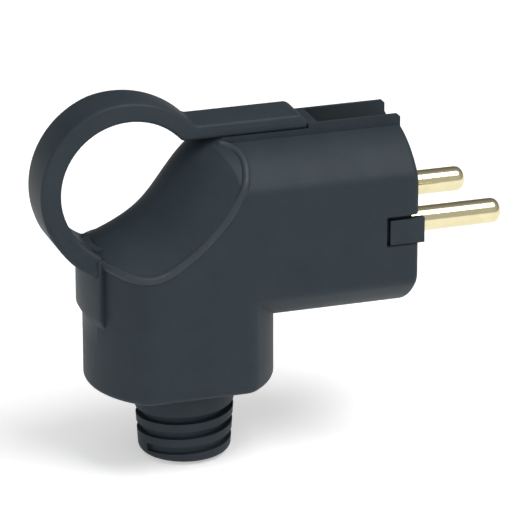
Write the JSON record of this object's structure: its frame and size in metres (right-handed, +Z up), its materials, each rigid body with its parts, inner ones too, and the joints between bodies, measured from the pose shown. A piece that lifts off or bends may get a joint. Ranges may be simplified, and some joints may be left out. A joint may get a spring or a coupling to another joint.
{
  "type": "angled mains plug",
  "caption": "Angled earthed mains plug: mitred elbow hood with a finger ring over a scooped recess, brass contact pins, earth clips and a grooved strain relief for the cord",
  "frame": {"origin": "centre of the engagement face, midway between the two contact pins", "axes": "+X out along the pins, +Z up towards the ring's strap, -Z along the cord; Y = 0 is the plane of symmetry"},
  "size_m": [0.0887, 0.0298, 0.0721],
  "materials": {
    "hood_plastic": "satin moulded, charcoal blue-grey",
    "ring_plastic": "satin moulded, charcoal blue-grey",
    "carrier_plastic": "satin moulded, charcoal blue-grey",
    "sleeve_rubber": "matt soft moulding, charcoal blue-grey",
    "contact_brass": "bright turned brass",
    "strip_brass": "rolled brass strip",
    "zinc_steel": "zinc-plated"
  },
  "bodies": {
    "root": {"housing": "hood_plastic", "pull_ring": "ring_plastic", "contact_carrier": "carrier_plastic", "pin_retainer": "carrier_plastic", "line_pin": "contact_brass", "neutral_pin": "contact_brass", "line_terminal_screw": "zinc_steel", "neutral_terminal_screw": "zinc_steel", "earth_strap": "strip_brass", "earth_sleeve": "strip_brass", "earth_clamp_plate": "zinc_steel", "earth_terminal_screw": "zinc_steel", "carrier_screw": "zinc_steel", "carrier_nut": "zinc_steel", "cord_clamp_bridge": "carrier_plastic", "cord_clamp_screws": "zinc_steel", "strain_relief_sleeve": "sleeve_rubber"}
  },
  "joints": []
}
